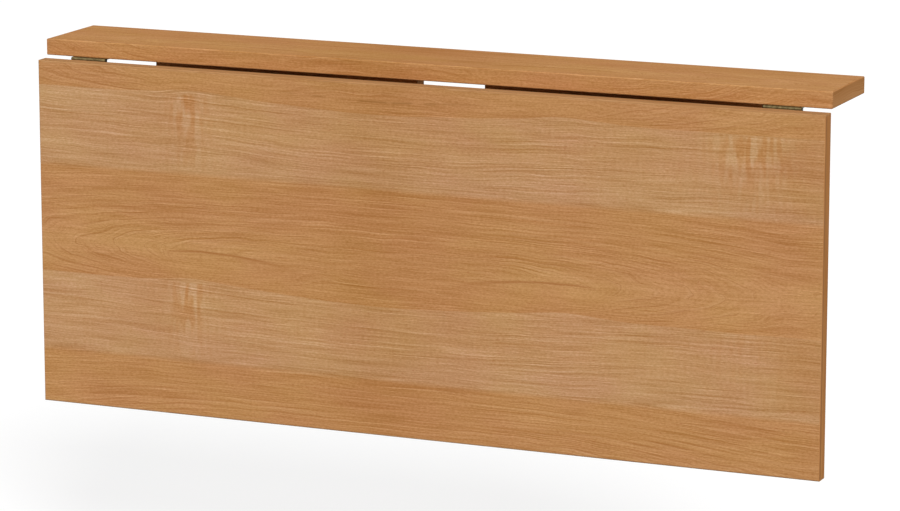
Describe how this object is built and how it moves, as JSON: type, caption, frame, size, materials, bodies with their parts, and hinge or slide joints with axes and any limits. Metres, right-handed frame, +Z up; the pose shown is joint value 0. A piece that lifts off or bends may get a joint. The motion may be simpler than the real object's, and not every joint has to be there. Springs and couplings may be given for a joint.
{
  "type": "wall-mounted drop leaf table",
  "caption": "Wall-mounted drop leaf table: a fixed shelf, a hinged leaf that folds down to hang from it, and board supports that swing out from wall battens.",
  "frame": {"origin": "centre of the shelf's back face, midway through the board, on the plane of the wall", "axes": "+X to the right along the wall for someone facing the table, +Y into the wall, +Z up; the leaf hangs down at rest"},
  "size_m": [1.1, 0.1554, 0.4914],
  "materials": {
    "board_laminate": "alder-tone woodgrain laminate on board, satin, grain along the width",
    "support_laminate": "the same woodgrain laminate, satin",
    "edging": "woodgrain edging strip, satin",
    "dowel_wood": "plain pale hardwood",
    "hinge_metal": "antique brass, brushed",
    "hinge_pin": "antique brass",
    "screw_steel": "zinc-plated steel",
    "bracket_steel": "zinc-plated pressed steel",
    "pad": "dark felt"
  },
  "bodies": {
    "wall_frame": {"top_shelf": "board_laminate", "shelf_front_edging": "edging", "shelf_left_edging": "edging", "shelf_right_edging": "edging", "left_wall_batten": "support_laminate", "right_wall_batten": "support_laminate", "shelf_dowels": "dowel_wood", "left_shelf_bracket": "bracket_steel", "right_shelf_bracket": "bracket_steel", "bracket_screws": "screw_steel", "left_shelf_hinge_plate": "hinge_metal", "right_shelf_hinge_plate": "hinge_metal", "left_hinge_pin": "hinge_pin", "right_hinge_pin": "hinge_pin", "shelf_hinge_screws": "screw_steel", "left_upper_batten_plate": "hinge_metal", "left_lower_batten_plate": "hinge_metal", "right_upper_batten_plate": "hinge_metal", "right_lower_batten_plate": "hinge_metal", "left_upper_support_pin": "hinge_pin", "left_lower_support_pin": "hinge_pin", "right_upper_support_pin": "hinge_pin", "right_lower_support_pin": "hinge_pin", "batten_hinge_screws": "screw_steel"},
    "leaf": {"drop_leaf": "board_laminate", "leaf_upper_edging": "edging", "leaf_lower_edging": "edging", "leaf_left_edging": "edging", "leaf_right_edging": "edging", "left_leaf_hinge_plate": "hinge_metal", "right_leaf_hinge_plate": "hinge_metal", "leaf_hinge_screws": "screw_steel", "left_stop_block": "support_laminate", "right_stop_block": "support_laminate", "stop_block_screws": "screw_steel"},
    "left_support": {"left_support": "support_laminate", "left_support_edging": "edging", "left_support_pad": "pad", "left_upper_support_plate": "hinge_metal", "left_lower_support_plate": "hinge_metal", "left_support_screws": "screw_steel"},
    "right_support": {"right_support": "support_laminate", "right_support_edging": "edging", "right_support_pad": "pad", "right_upper_support_plate": "hinge_metal", "right_lower_support_plate": "hinge_metal", "right_support_screws": "screw_steel"}
  },
  "joints": [
    {"name": "leaf_fold", "type": "hinge", "parent": "wall_frame", "child": "leaf", "pos_m": [0, -0.131, -0.0134], "axis": [-1, 0, 0], "range_deg": [0, 90]},
    {"name": "left_support_swing", "type": "hinge", "parent": "wall_frame", "child": "left_support", "pos_m": [-0.4348, -0.0192, -0.192], "axis": [0, 0, -1], "range_deg": [0, 13]},
    {"name": "right_support_swing", "type": "hinge", "parent": "wall_frame", "child": "right_support", "pos_m": [0.4348, -0.0192, -0.192], "axis": [0, 0, 1], "range_deg": [0, 13]}
  ]
}
